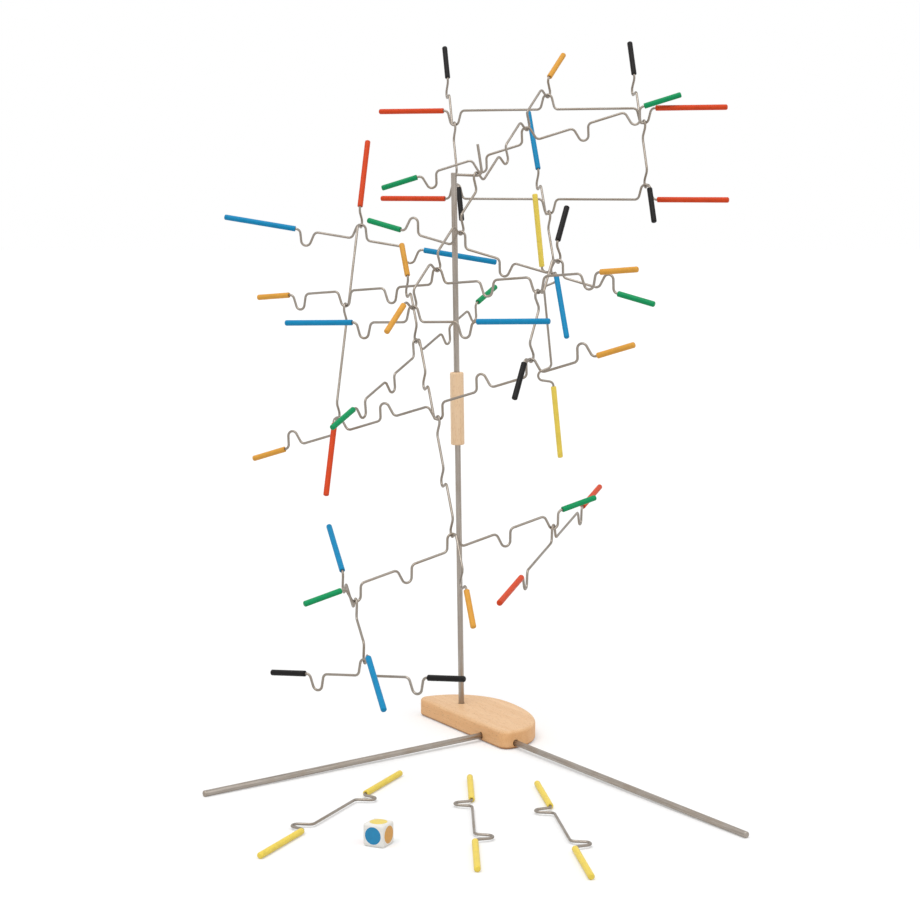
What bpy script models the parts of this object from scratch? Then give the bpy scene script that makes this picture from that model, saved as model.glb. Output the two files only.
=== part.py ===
"""Balance game: notched wires with rubber tips hung from a hooked stand on a wooden foot."""
import math

import bmesh
import bpy
import numpy as np
from mathutils import Matrix

for old_object in list(bpy.data.objects):
    bpy.data.objects.remove(old_object, do_unlink=True)

# Driving dimensions: lengths in millimetres, angles in degrees.
# +X is to the player's right, +Y away from the player, +Z up; the table is at Z = 0 and the
# origin is below the pole.
MILLIMETRE = 0.001
GAP = 0.3
TOUCHING = 1e-6
SHARP_ANGLE = 40.0
ROUND_PROFILE = 0.5

ROD_DIAMETER = 4.7
ROD_SIDES = 10
ROD_CHAMFER = 0.6

BASE_LENGTH = 141.0
BASE_DEPTH = 59.0
BASE_DEEPEST_FROM_END = 56.0
BASE_HEIGHT = 15.0
BASE_CORNER = 8.0
BASE_CORNER_STEPS = 4
BASE_EDGE = 2.6
BASE_EDGE_STEPS = 3
BASE_CURVE_STEPS = 20
BASE_ROUNDNESS = 2.1
BASE_TURN = -60.0
POLE_FROM_BASE_END = 38.5
POLE_FROM_FLAT_EDGE = 21.0
POLE_SOCKET_DEPTH = 11.0
POLE_LEAN = 0.8

LEG_LENGTH = 306.0
LEG_HEIGHT = 5.0
# A leg slopes down from its socket until its far end lies on the table.
LEG_DROP_ANGLE = math.degrees(math.asin((LEG_HEIGHT - ROD_DIAMETER / 2) / LEG_LENGTH))
# A leg's turn is counted from square to the flat edge.
SIDE_LEG_FROM_BASE_END = 105.5
SIDE_LEG_TURN = 8.5
SIDE_LEG_SOCKET_DEPTH = 44.0
END_LEG_FROM_FLAT_EDGE = 12.0
END_LEG_TURN = 92.3
END_LEG_SOCKET_DEPTH = 20.0

JOINER_BOTTOM = 233.0
JOINER_LENGTH = 60.0
JOINER_DIAMETER = 11.2
JOINER_SOCKET_DEPTH = 27.0
JOINER_EDGE = 1.0
JOINER_SIDES = 24

HOOK_DIAMETER = 2.2
HOOK_SIDES = 8
HOOK_HEIGHT = 454.0
HOOK_BELOW_TOP = 3.0
HOOK_REACH = 22.5
HOOK_RISE = 25.0
HOOK_BEND = 4.0
HOOK_DIP = 3.0
HOOK_LEAN_IN = 8.0
HOOK_BEND_STEPS = 8
PRESS_GAP = 0.1

WIRE_DIAMETER = 2.0
WIRE_SIDES = 6
NOTCH_PITCH = 45.0
RED_REACH = 87.0
YELLOW_REACH = 41.0
NOTCH_DEPTH = 12.5
NOTCH_RADIUS = 4.2
NOTCH_FLANK = 75.0
NOTCH_ARC_STEPS = 8
MOUTH_RADIUS = 4.0
MOUTH_STEPS = 2
SHARPEST_MITRE = 0.2
TIP_INSET = 10.5
SHORT_TIP = 32.0
LONG_TIP = 62.0
TIP_DIAMETER = 4.6
TIP_SIDES = 8
TIP_END_WALL = 3.0
TIP_EDGE = 1.1

DIE_SIZE = 16.0
DIE_EDGE = 1.8
DIE_EDGE_STEPS = 3
DIE_PLACE = (-57.0, -349.0)
DIE_TURN = -27.0

# Room that a hung wire leaves round the others, apart from where it hangs.
ROOM = 3.0
TURN_STEP = 2.0
TURN_LIMIT = 30.0
FIT_LIMIT = 90.0
FIT_HALVINGS = 50
HOOKED_SAMPLES = 61
SUPPORT_ZONE = 16.0
SAMPLE_STEP = 1.0

# Notches are numbered outwards from 0 at the middle; the far, upper or right end counts up.
WIRE_KINDS = {
    "red": {"notches": (RED_REACH,), "tip": LONG_TIP, "separate_tips": True},
    "blue": {"notches": (NOTCH_PITCH,), "tip": LONG_TIP, "separate_tips": True},
    "yellow": {"notches": (YELLOW_REACH,), "tip": LONG_TIP, "separate_tips": True},
    "black": {"notches": (NOTCH_PITCH,), "tip": SHORT_TIP, "separate_tips": False},
    "green": {"notches": (NOTCH_PITCH, 2 * NOTCH_PITCH), "tip": SHORT_TIP, "separate_tips": False},
    "orange": {
        "notches": (NOTCH_PITCH, 2 * NOTCH_PITCH, 3 * NOTCH_PITCH),
        "tip": SHORT_TIP,
        "separate_tips": False,
    },
}

# Wires in the order in which they are hung: name, the wire and notch that carry it, its own
# notch, then its heading (0 is to the right, 90 is away from the player) and its slope.
HUNG_WIRES = (
    ("orange_a", "hook", 0, 0, 58, 39),
    ("red_a", "orange_a", 3, 0, -24, 0),
    ("black_a", "red_a", -1, 0, 100, 60),
    ("black_b", "red_a", 1, 0, 100, 60),
    ("red_b", "black_a", -1, -1, -24, 0),
    ("orange_b", "orange_a", -2, 0, -31, 5),
    ("black_c", "orange_b", 2, 0, 64, 56),
    ("red_c", "orange_b", -2, 0, 78, 62),
    ("green_b", "orange_a", -1, -1, -28, -13),
    ("orange_c", "red_c", -1, -2, -27, 17),
    ("green_a", "orange_a", 2, 0, -7, 17),
    ("blue_c", "red_b", 0, 0, 102, 54),
    ("yellow_a", "blue_c", -1, 1, 192, 84),
    ("blue_a", "red_c", 1, 0, -9, -9),
    ("blue_b", "orange_a", -3, 0, -27, 2),
    ("orange_d", "orange_c", 0, 0, 106, 53),
    ("green_c", "orange_d", 2, 0, 58, 22),
    ("green_d", "orange_d", -2, 0, 28, 14),
    ("blue_d", "green_d", -2, 0, 104, 26),
    ("black_d", "blue_d", -1, 0, -31, 5),
    ("red_d", "green_d", 2, 0, 73, 8),
)
# Bridges hang by two notches: name, its second notch, the second wire and notch that carry
# it, and the wire that is turned until the span fits.
BRIDGES = {
    "red_b": (1, "black_b", -1, None),
    "green_b": (1, "black_c", 1, "black_c"),
    "orange_c": (2, "black_c", -1, "red_c"),
}
UPSIDE_DOWN = ("red_b", "green_b", "orange_c")

# Yellow wires left on the table: name, place of the middle, heading, roll onto one face or the other.
TABLE_WIRES = (
    ("yellow_b", -91.0, -278.0, 67, 90),
    ("yellow_c", 8.0, -298.0, 91, -90),
    ("yellow_d", 70.0, -315.0, 97, -90),
)

WOOD = ((0.776, 0.479, 0.262), 0.55, 0.0)
WHITE_PAINT = ((0.86, 0.84, 0.79), 0.45, 0.0)
STEEL = ((0.33, 0.30, 0.27), 0.32, 1.0)
TIP_COLOURS = {
    "red": (0.672, 0.065, 0.031),
    "blue": (0.010, 0.188, 0.456),
    "green": (0.0, 0.263, 0.102),
    "orange": (0.831, 0.376, 0.032),
    "black": (0.013, 0.010, 0.010),
    "yellow": (0.913, 0.679, 0.080),
}
RUBBER_ROUGHNESS = 0.6


def make_material(name, colour, roughness, metallic):
    """A Principled material with one colour, roughness and metallic value."""
    material = bpy.data.materials.new(name)
    material.use_nodes = True
    shader = material.node_tree.nodes["Principled BSDF"]
    shader.inputs["Base Color"].default_value = (*colour, 1.0)
    shader.inputs["Roughness"].default_value = roughness
    shader.inputs["Metallic"].default_value = metallic
    return material


def make_mesh(name, bm):
    """Turn a bmesh in millimetres into a mesh in metres, smooth apart from its sharp edges."""
    bmesh.ops.recalc_face_normals(bm, faces=bm.faces)
    bmesh.ops.scale(bm, vec=(MILLIMETRE,) * 3, verts=bm.verts)
    mesh = bpy.data.meshes.new(name)
    bm.to_mesh(mesh)
    bm.free()
    mesh.shade_smooth()
    mesh.set_sharp_from_angle(angle=math.radians(SHARP_ANGLE))
    return mesh


def make_object(name, bm, material, parent=None, place=(0, 0, 0), turn=(0, 0, 0)):
    """Turn a bmesh into a placed object; place is in millimetres, turn in degrees."""
    return add_object(name, make_mesh(name, bm), material, parent, place, turn)


def add_object(name, mesh, material, parent, place, turn):
    """Link an object for a mesh and place it under its parent."""
    made = bpy.data.objects.new(name, mesh)
    bpy.context.collection.objects.link(made)
    made.parent = parent
    made.location = [value * MILLIMETRE for value in place]
    made.rotation_euler = [math.radians(value) for value in turn]
    if mesh is not None and not mesh.materials:
        mesh.materials.append(material)
    return made


def swept_bmesh(path, radii, sides):
    """A round bar along a path in the XZ plane, mitred at its corners, with a radius per point."""
    bm = bmesh.new()
    angles = [2 * math.pi * (side + 0.5) / sides for side in range(sides)]
    rings = []
    for index, (x, z) in enumerate(path):
        before = path_direction(path, index, -1)
        after = path_direction(path, index, 1)
        along = np.array(before) + np.array(after)
        along /= np.linalg.norm(along)
        mitre = 1.0 / max(float(np.dot(along, after)), SHARPEST_MITRE)
        ring = []
        for angle in angles:
            across = radii[index] * math.cos(angle) * mitre
            aside = radii[index] * math.sin(angle)
            ring.append(bm.verts.new((x - across * along[1], aside, z + across * along[0])))
        rings.append(ring)
    for first, second in zip(rings, rings[1:]):
        for side in range(sides):
            following = (side + 1) % sides
            bm.faces.new((first[side], first[following], second[following], second[side]))
    bm.faces.new(rings[0])
    bm.faces.new(list(reversed(rings[-1])))
    return bm


def path_direction(path, index, step):
    """Unit direction of the path towards or past a point, skipping coincident points."""
    other = index + step
    while 0 <= other < len(path):
        run = np.subtract(path[other], path[index]) * step
        length = np.linalg.norm(run)
        if length > TOUCHING:
            return run / length
        other += step
    return path_direction(path, index, -step)


def turned_bmesh(profile, sides):
    """A turned body on the Z axis from (radius, height) pairs, closed at both ends."""
    bm = bmesh.new()
    rings = []
    for radius, height in profile:
        ring = []
        for side in range(sides):
            angle = 2 * math.pi * (side + 0.5) / sides
            ring.append(bm.verts.new((radius * math.cos(angle), radius * math.sin(angle), height)))
        rings.append(ring)
    for first, second in zip(rings, rings[1:]):
        for side in range(sides):
            following = (side + 1) % sides
            bm.faces.new((first[side], first[following], second[following], second[side]))
    bm.faces.new(list(reversed(rings[0])))
    bm.faces.new(rings[-1])
    return bm


def arc(centre, radius, start, end, steps):
    """Points of an arc in the XZ plane, angles in degrees from +X towards +Z."""
    angles = np.radians(np.linspace(start, end, steps + 1))
    return [(centre[0] + radius * math.cos(a), centre[1] + radius * math.sin(a)) for a in angles]


def notch_mouth():
    """Half the width of a notch at the straight wire."""
    flank = math.radians(NOTCH_FLANK)
    bends = NOTCH_RADIUS + MOUTH_RADIUS
    straight = NOTCH_DEPTH - bends * (1 - math.cos(flank))
    return bends * math.sin(flank) + straight / math.tan(flank)


def notch_points(side):
    """One notch from mouth to mouth: mouth bend, flank, rounded bottom, flank, mouth bend."""
    lip = arc((-notch_mouth(), MOUTH_RADIUS), MOUTH_RADIUS, -90, NOTCH_FLANK - 90, MOUTH_STEPS)
    crown = arc((0, NOTCH_DEPTH - NOTCH_RADIUS), NOTCH_RADIUS, 90 + NOTCH_FLANK,
                90 - NOTCH_FLANK, NOTCH_ARC_STEPS)
    outline = [*lip, *crown, *((-x, z) for x, z in reversed(lip))]
    return [(x, side * z) for x, z in outline]


def colour_of(name):
    """The tip colour that a wire's name starts with."""
    return name.split("_")[0]


def notches_of(name):
    """Notch number to (place along the wire, side): the middle one opens downwards."""
    colour = colour_of(name)
    reaches = WIRE_KINDS[colour]["notches"]
    if colour == "yellow":
        return {-1: (-reaches[0], -1), 1: (reaches[0], 1)}
    notches = {0: (0.0, 1)}
    for number, reach in enumerate(reaches, start=1):
        notches[-number] = (-reach, -1)
        notches[number] = (reach, -1)
    if name in UPSIDE_DOWN:
        notches = {number: (place, -side) for number, (place, side) in notches.items()}
    return notches


def tip_start(name):
    """Distance from the wire's middle to where a rubber tip begins."""
    return WIRE_KINDS[colour_of(name)]["notches"][-1] + TIP_INSET


def wire_line(name, end):
    """Centre line of a wire in its own plane, out to the given half length."""
    points = [(-end, 0.0)]
    for place, side in sorted(notches_of(name).values()):
        points += [(place + x, z) for x, z in notch_points(side)]
    return points + [(end, 0.0)]


def notch_centre(name, number):
    """Centre of a notch's rounded bottom, in the wire's own plane."""
    place, side = notches_of(name)[number]
    return place, side * (NOTCH_DEPTH - NOTCH_RADIUS)


def wire_axes(heading, slope):
    """Unit vectors along a wire and across it, in its upright plane."""
    turn = math.radians(heading)
    tilt = math.radians(slope)
    level = np.array((math.cos(turn), math.sin(turn), 0.0))
    upright = np.array((0.0, 0.0, 1.0))
    along = level * math.cos(tilt) + upright * math.sin(tilt)
    across = upright * math.cos(tilt) - level * math.sin(tilt)
    return along, across


def hook_path():
    """Hook wire in the pole's plane: from the pole's far side through it, along the arm, then up."""
    fall = math.tan(math.radians(HOOK_DIP))
    lean = math.radians(HOOK_LEAN_IN)
    rise = HOOK_RISE - HOOK_BEND
    start = -ROD_DIAMETER / 2
    path = [(start, HOOK_HEIGHT - fall * start)]
    path += arc(hook_bend_centre(), HOOK_BEND, -90 - HOOK_DIP, HOOK_LEAN_IN, HOOK_BEND_STEPS)
    end = path[-1]
    return path + [(end[0] - rise * math.sin(lean), end[1] + rise * math.cos(lean))]


def hook_bend_centre():
    """Centre of the hook's bend: the arm falls towards it from the pole."""
    dip = math.radians(HOOK_DIP)
    x = HOOK_REACH - HOOK_BEND
    arm = HOOK_HEIGHT - math.tan(dip) * (x - HOOK_BEND * math.sin(dip))
    return x, arm + HOOK_BEND * math.cos(dip)


def pole_matrix():
    """Lean of the pole about its foot, with lengths in millimetres."""
    return Matrix.Rotation(math.radians(-POLE_LEAN), 4, "Y")


def hooked_drop(carrier_radius, carrier_diameter, crossing):
    """How far a hung notch's centre lies below its carrier's: as far as the gap between the bars lets it.

    Both bends are circles in upright planes that cross at this angle."""
    turns = np.radians(np.linspace(-NOTCH_FLANK, NOTCH_FLANK, HOOKED_SAMPLES))
    below, above = np.meshgrid(turns, turns)
    cross = math.radians(crossing)
    x = carrier_radius * np.sin(below) - NOTCH_RADIUS * np.sin(above) * math.cos(cross)
    y = NOTCH_RADIUS * np.sin(above) * math.sin(cross)
    height = carrier_radius * np.cos(below) + NOTCH_RADIUS * np.cos(above)
    apart = (carrier_diameter + WIRE_DIAMETER) / 2 + GAP
    high = carrier_radius + NOTCH_RADIUS - apart
    low = high - NOTCH_RADIUS
    for _ in range(FIT_HALVINGS):
        middle = (low + high) / 2
        if np.sqrt(x ** 2 + y ** 2 + (height - middle) ** 2).min() < apart:
            high = middle
        else:
            low = middle
    return low


def hook_centre():
    """Centre of the hook's bend on the leaning pole."""
    x, z = hook_bend_centre()
    return np.array(pole_matrix().to_3x3()) @ np.array((x, 0.0, z))


def notch_point(wires, name, number):
    """Place of a notch's centre on a hung wire."""
    along, across = wires[name]["axes"]
    x, z = notch_centre(name, number)
    return wires[name]["middle"] + x * along + z * across


def seat(wires, carrier, number, heading):
    """Centre for the bend of a notch that hangs in a carrier's notch, or in the hook."""
    if carrier == "hook":
        return hook_centre() - np.array((0.0, 0.0, hooked_drop(HOOK_BEND, HOOK_DIAMETER, heading)))
    drop = hooked_drop(NOTCH_RADIUS, WIRE_DIAMETER, heading - wires[carrier]["heading"])
    return notch_point(wires, carrier, number) - np.array((0.0, 0.0, drop))


def hang(wires, entry, heading, slope):
    """Hang one wire at a heading and slope, and keep its place."""
    name, carrier, carrier_notch, own_notch = entry[:4]
    along, across = wire_axes(heading, slope)
    x, z = notch_centre(name, own_notch)
    support = seat(wires, carrier, carrier_notch, heading)
    wires[name] = {
        "axes": (along, across),
        "middle": support - x * along - z * across,
        "support": support,
        "own_notch": own_notch,
        "heading": heading,
        "slope": slope,
    }


def span_misfit(wires, name):
    """How much too far apart the two supports of a bridge are, and the way from one to the other."""
    entry = next(wire for wire in HUNG_WIRES if wire[0] == name)
    _, carrier, carrier_notch, own_notch, heading, _ = entry
    second_notch, second_carrier, second_carrier_notch, _ = BRIDGES[name]
    start = seat(wires, carrier, carrier_notch, heading)
    way = seat(wires, second_carrier, second_carrier_notch, heading) - start
    span = notch_centre(name, second_notch)[0] - notch_centre(name, own_notch)[0]
    return np.linalg.norm(way) - span, way


def turn_to_fit(wires, name, entry):
    """Turn a carrier, nearest heading first, until the bridge's two supports lie a span apart."""
    wished = entry[4]

    def misfit(heading):
        hang(wires, entry, heading, entry[5])
        return span_misfit(wires, name)[0]

    for step in range(1, int(FIT_LIMIT / TURN_STEP)):
        for sign in (1, -1):
            low = wished + sign * (step - 1) * TURN_STEP
            high = wished + sign * step * TURN_STEP
            if misfit(low) * misfit(high) <= 0:
                for _ in range(FIT_HALVINGS):
                    middle = (low + high) / 2
                    if misfit(low) * misfit(middle) <= 0:
                        high = middle
                    else:
                        low = middle
                hang(wires, entry, low, entry[5])
                return


def bridge_angles(way):
    """Heading and slope of a bridge whose supports are joined by this vector."""
    heading = math.degrees(math.atan2(way[1], way[0]))
    slope = math.degrees(math.asin(way[2] / np.linalg.norm(way)))
    return heading, slope


def sampled(points, radius):
    """Points along a polyline, one sample step apart, each with the bar's radius there."""
    samples = []
    for first, second in zip(points, points[1:]):
        count = max(2, int(np.linalg.norm(second - first) / SAMPLE_STEP) + 1)
        samples.append(np.linspace(first, second, count))
    samples = np.concatenate(samples)
    return samples, np.full(len(samples), radius)


def wire_samples(wires, name):
    """Sampled centre line of a hung wire and its tips."""
    along, across = wires[name]["axes"]
    start = tip_start(name)
    end = start + WIRE_KINDS[colour_of(name)]["tip"]
    runs = [(wire_line(name, start), WIRE_DIAMETER / 2)]
    for sign in (-1, 1):
        runs.append(([(sign * start, 0.0), (sign * end, 0.0)], TIP_DIAMETER / 2))
    parts = []
    for line, radius in runs:
        places = [wires[name]["middle"] + x * along + z * across for x, z in line]
        parts.append(sampled(places, radius))
    return np.concatenate([p for p, _ in parts]), np.concatenate([r for _, r in parts])


def pole_top():
    """Height of the upper rod's end, a little above the hook."""
    return HOOK_HEIGHT + HOOK_BELOW_TOP


def pole_samples():
    """Sampled centre line of the pole, the joiner and the hook."""
    lean = np.array(pole_matrix().to_3x3())
    runs = (
        ([(0.0, BASE_HEIGHT), (0.0, JOINER_BOTTOM)], ROD_DIAMETER / 2),
        ([(0.0, JOINER_BOTTOM), (0.0, JOINER_BOTTOM + JOINER_LENGTH)], JOINER_DIAMETER / 2),
        ([(0.0, JOINER_BOTTOM + JOINER_LENGTH), (0.0, pole_top())], ROD_DIAMETER / 2),
        (hook_path(), HOOK_DIAMETER / 2),
    )
    parts = []
    for line, radius in runs:
        places = [lean @ np.array((x, 0.0, z)) for x, z in line]
        parts.append(sampled(places, radius))
    return np.concatenate([p for p, _ in parts]), np.concatenate([r for _, r in parts])


def room_round(wires, name, others):
    """Least room between a hung wire and the others, away from where they carry each other."""
    points, radii = wire_samples(wires, name)
    supports = [wires[other]["support"] for other in wires]
    supports += [notch_point(wires, bridge, BRIDGES[bridge][0]) for bridge in BRIDGES if bridge in wires]
    away = np.all([np.linalg.norm(points - s, axis=1) > SUPPORT_ZONE for s in supports], axis=0)
    points = points[away]
    radii = radii[away]
    least = math.inf
    for other_points, other_radii in others.values():
        apart = np.linalg.norm(points[:, None] - other_points[None], axis=2)
        least = min(least, float((apart - radii[:, None] - other_radii[None]).min()))
    return least


def hang_all():
    """Hang every wire in order, fit the bridges, and turn single wires clear of the rest."""
    wires = {}
    others = {"pole": pole_samples()}
    entries = {entry[0]: entry for entry in HUNG_WIRES}
    turned_for_bridge = {fit[3] for fit in BRIDGES.values()}
    for name, entry in entries.items():
        if name in BRIDGES:
            turned = BRIDGES[name][3]
            if turned:
                turn_to_fit(wires, name, entries[turned])
                others[turned] = wire_samples(wires, turned)
            hang(wires, entry, *bridge_angles(span_misfit(wires, name)[1]))
        else:
            hang(wires, entry, entry[4], entry[5])
            if name not in turned_for_bridge:
                turn_clear(wires, entry, others)
        others[name] = wire_samples(wires, name)
    return wires


def turn_clear(wires, entry, others):
    """Turn a wire aside in small steps, as little as it takes to leave room round it."""
    offsets = [0.0]
    for step in range(1, int(TURN_LIMIT / TURN_STEP) + 1):
        offsets += [step * TURN_STEP, -step * TURN_STEP]
    found = []
    for offset in offsets:
        hang(wires, entry, entry[4] + offset, entry[5])
        room = room_round(wires, entry[0], others)
        found.append(room)
        if room >= ROOM:
            return
    hang(wires, entry, entry[4] + offsets[int(np.argmax(found))], entry[5])


def cut_with(body, cutter):
    """Cut a hidden cutter out of a body."""
    cutter.hide_render = True
    cutter.display_type = "WIRE"
    cut = body.modifiers.new(cutter.name, "BOOLEAN")
    cut.operation = "DIFFERENCE"
    cut.solver = "EXACT"
    cut.object = cutter


def base_outline():
    """Outline of the foot: a rounded back, deepest near the pole, two corners, and a flat edge."""
    deepest_x = BASE_DEEPEST_FROM_END - POLE_FROM_BASE_END
    corner_y = BASE_CORNER - POLE_FROM_FLAT_EDGE
    outline = []
    for step in range(BASE_CURVE_STEPS + 1):
        angle = math.pi * step / BASE_CURVE_STEPS
        reach = BASE_LENGTH - BASE_DEEPEST_FROM_END if math.cos(angle) > 0 else BASE_DEEPEST_FROM_END
        x = math.copysign(abs(math.cos(angle)) ** (2 / BASE_ROUNDNESS), math.cos(angle))
        y = math.sin(angle) ** (2 / BASE_ROUNDNESS)
        outline.append((deepest_x + reach * x, corner_y + (BASE_DEPTH - BASE_CORNER) * y))
    far_end = BASE_CORNER - POLE_FROM_BASE_END
    near_end = BASE_LENGTH - POLE_FROM_BASE_END - BASE_CORNER
    for step in range(1, BASE_CORNER_STEPS + 1):
        angle = math.pi / 2 * (2 + step / BASE_CORNER_STEPS)
        outline.append((far_end + BASE_CORNER * math.cos(angle), corner_y + BASE_CORNER * math.sin(angle)))
    for step in range(BASE_CORNER_STEPS):
        angle = math.pi / 2 * (3 + step / BASE_CORNER_STEPS)
        outline.append((near_end + BASE_CORNER * math.cos(angle), corner_y + BASE_CORNER * math.sin(angle)))
    return outline


def build_base(foot, pole, wood):
    """D-shaped foot: one flat edge, a rounded back, and blind sockets for pole and legs."""
    bm = bmesh.new()
    bottom = bm.faces.new([bm.verts.new((x, y, 0.0)) for x, y in base_outline()])
    top = bmesh.ops.extrude_face_region(bm, geom=[bottom])
    raised = [item for item in top["geom"] if isinstance(item, bmesh.types.BMVert)]
    bmesh.ops.translate(bm, verts=raised, vec=(0.0, 0.0, BASE_HEIGHT))
    rims = [edge for edge in bm.edges if abs(edge.verts[0].co.z - edge.verts[1].co.z) < TOUCHING]
    bmesh.ops.bevel(bm, geom=rims, offset=BASE_EDGE, segments=BASE_EDGE_STEPS,
                    profile=ROUND_PROFILE, affect="EDGES")
    base = make_object("base", bm, wood, foot)
    sockets = [("pole_socket", pole, (0.0, 0.0, BASE_HEIGHT - POLE_SOCKET_DEPTH), (0.0, 0.0, 0.0))]
    sockets += [(leg + "_socket", foot, place, turn) for leg, place, turn in leg_places()]
    radius = ROD_DIAMETER / 2 + GAP
    for name, frame, place, turn in sockets:
        bore = turned_bmesh([(radius, -GAP), (radius, BASE_LENGTH)], ROD_SIDES)
        cut_with(base, make_object(name, bore, wood, frame, place, turn))


def leg_place(mouth, turn, depth):
    """Inner end of a leg, its socket's depth back from the mouth, and the leg's turn."""
    way = math.radians(turn - 90.0)
    inner = (mouth[0] - depth * math.cos(way), mouth[1] - depth * math.sin(way), LEG_HEIGHT)
    return inner, (90.0 + LEG_DROP_ANGLE, 0.0, turn)


def leg_places():
    """Name, inner end and turn of both legs, from the pole's foot."""
    side_mouth = (SIDE_LEG_FROM_BASE_END - POLE_FROM_BASE_END, -POLE_FROM_FLAT_EDGE)
    end_mouth = (BASE_LENGTH - POLE_FROM_BASE_END, END_LEG_FROM_FLAT_EDGE - POLE_FROM_FLAT_EDGE)
    return (
        ("leg_left", *leg_place(side_mouth, SIDE_LEG_TURN, SIDE_LEG_SOCKET_DEPTH)),
        ("leg_right", *leg_place(end_mouth, END_LEG_TURN, END_LEG_SOCKET_DEPTH)),
    )


def rod_bmesh(length):
    """A straight rod along Z with a small chamfer at both ends."""
    radius = ROD_DIAMETER / 2
    profile = [(radius - ROD_CHAMFER, 0.0), (radius, ROD_CHAMFER),
               (radius, length - ROD_CHAMFER), (radius - ROD_CHAMFER, length)]
    return turned_bmesh(profile, ROD_SIDES)


def build_stand(wood, steel):
    """The base with its legs, and the pole: lower rod, wooden joiner, upper rod with its hook."""
    foot = add_object("foot_frame", None, None, None, (0.0, 0.0, 0.0), (0.0, 0.0, BASE_TURN))
    pole = add_object("pole_frame", None, None, None, (0.0, 0.0, 0.0), (0.0, -POLE_LEAN, 0.0))
    build_base(foot, pole, wood)
    for name, place, turn in leg_places():
        make_object(name, rod_bmesh(LEG_LENGTH), steel, foot, place, turn)

    rod_foot = BASE_HEIGHT - POLE_SOCKET_DEPTH + GAP
    rod_top = JOINER_BOTTOM + JOINER_SOCKET_DEPTH - GAP
    make_object("lower_pole", rod_bmesh(rod_top - rod_foot), steel, pole, (0.0, 0.0, rod_foot))
    build_joiner(pole, wood)
    build_upper_pole(pole, steel)


def build_upper_pole(parent, steel):
    """Upper rod with a cross hole near its end, and the thinner hook wire pressed into the hole."""
    foot = JOINER_BOTTOM + JOINER_LENGTH - JOINER_SOCKET_DEPTH + GAP
    rod = make_object("upper_pole", rod_bmesh(pole_top() - foot), steel, parent, (0.0, 0.0, foot))
    radius = HOOK_DIAMETER / 2 + PRESS_GAP
    hole = turned_bmesh([(radius, -ROD_DIAMETER), (radius, ROD_DIAMETER)], HOOK_SIDES)
    cut_with(rod, make_object("hook_hole", hole, steel, parent, (0.0, 0.0, HOOK_HEIGHT),
                              (0.0, 90.0 + HOOK_DIP, 0.0)))
    path = hook_path()
    radii = [HOOK_DIAMETER / 2] * len(path)
    make_object("hook", swept_bmesh(path, radii, HOOK_SIDES), steel, parent)


def build_joiner(parent, wood):
    """Wooden dowel with a blind socket in each end."""
    outer = JOINER_DIAMETER / 2
    bore = ROD_DIAMETER / 2 + GAP
    profile = [
        (bore, JOINER_SOCKET_DEPTH),
        (bore, 0.0),
        (outer - JOINER_EDGE, 0.0),
        (outer, JOINER_EDGE),
        (outer, JOINER_LENGTH - JOINER_EDGE),
        (outer - JOINER_EDGE, JOINER_LENGTH),
        (bore, JOINER_LENGTH),
        (bore, JOINER_LENGTH - JOINER_SOCKET_DEPTH),
    ]
    make_object("joiner", turned_bmesh(profile, JOINER_SIDES), wood, parent,
                (0.0, 0.0, JOINER_BOTTOM))


def wire_bmesh(name, origin):
    """A notched wire with its origin at a point of its plane; short tips are part of the bar."""
    start = tip_start(name)
    tip = WIRE_KINDS[colour_of(name)]["tip"]
    radius = WIRE_DIAMETER / 2
    tip_radius = TIP_DIAMETER / 2
    end = start + tip
    if WIRE_KINDS[colour_of(name)]["separate_tips"]:
        path = wire_line(name, end - TIP_END_WALL - GAP)
        radii = [radius] * len(path)
    else:
        line = wire_line(name, start)
        cap = [(end, tip_radius - TIP_EDGE), (end - TIP_EDGE, tip_radius), (start, tip_radius)]
        path = [(-x, 0.0) for x, _ in cap] + line + [(x, 0.0) for x, _ in reversed(cap)]
        radii = [r for _, r in cap] + [radius] * len(line) + [r for _, r in reversed(cap)]
    path = [(x - origin[0], z - origin[1]) for x, z in path]
    return swept_bmesh(path, radii, WIRE_SIDES)


def tip_mesh(colour, length):
    """A rubber sleeve along X, open at 0 and closed at its far end."""
    outer = TIP_DIAMETER / 2
    bore = WIRE_DIAMETER / 2 + GAP
    profile = [(bore, length - TIP_END_WALL), (bore, 0.0), (outer, 0.0),
               (outer, length - TIP_EDGE), (outer - TIP_EDGE, length)]
    bm = turned_bmesh(profile, TIP_SIDES)
    bmesh.ops.rotate(bm, verts=bm.verts, matrix=Matrix.Rotation(math.radians(90), 3, "Y"))
    return make_mesh(colour + "_tip", bm)


def build_wire(name, origin, place, turn, steel, rubber):
    """One wire with its origin on its hinge, and its two sleeves where they are separate."""
    colour = colour_of(name)
    kind = WIRE_KINDS[colour]
    letter = name.split("_")[1]
    wire_name = f"{colour}_wire_{letter}"
    wire = make_object(wire_name, wire_bmesh(name, origin), steel, None, place, turn)
    if not kind["separate_tips"]:
        return
    mesh = bpy.data.meshes.get(colour + "_tip") or tip_mesh(colour, kind["tip"])
    for number, sign in ((1, -1), (2, 1)):
        tip_place = (sign * tip_start(name) - origin[0], 0.0, -origin[1])
        flip = (0.0, 0.0, 0.0 if sign > 0 else 180.0)
        add_object(f"{colour}_tip_{letter}{number}", mesh, rubber, wire, tip_place, flip)


def build_wires(steel, rubbers):
    """Every hung wire at its place, and the wires that lie on the table."""
    for name, wire in hang_all().items():
        origin = notch_centre(name, wire["own_notch"])
        build_wire(name, origin, wire["support"], (0.0, -wire["slope"], wire["heading"]),
                   steel, rubbers[colour_of(name)])
    for name, x, y, heading, roll in TABLE_WIRES:
        build_wire(name, (0.0, 0.0), (x, y, TIP_DIAMETER / 2), (roll, 0.0, heading),
                   steel, rubbers["yellow"])


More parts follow.
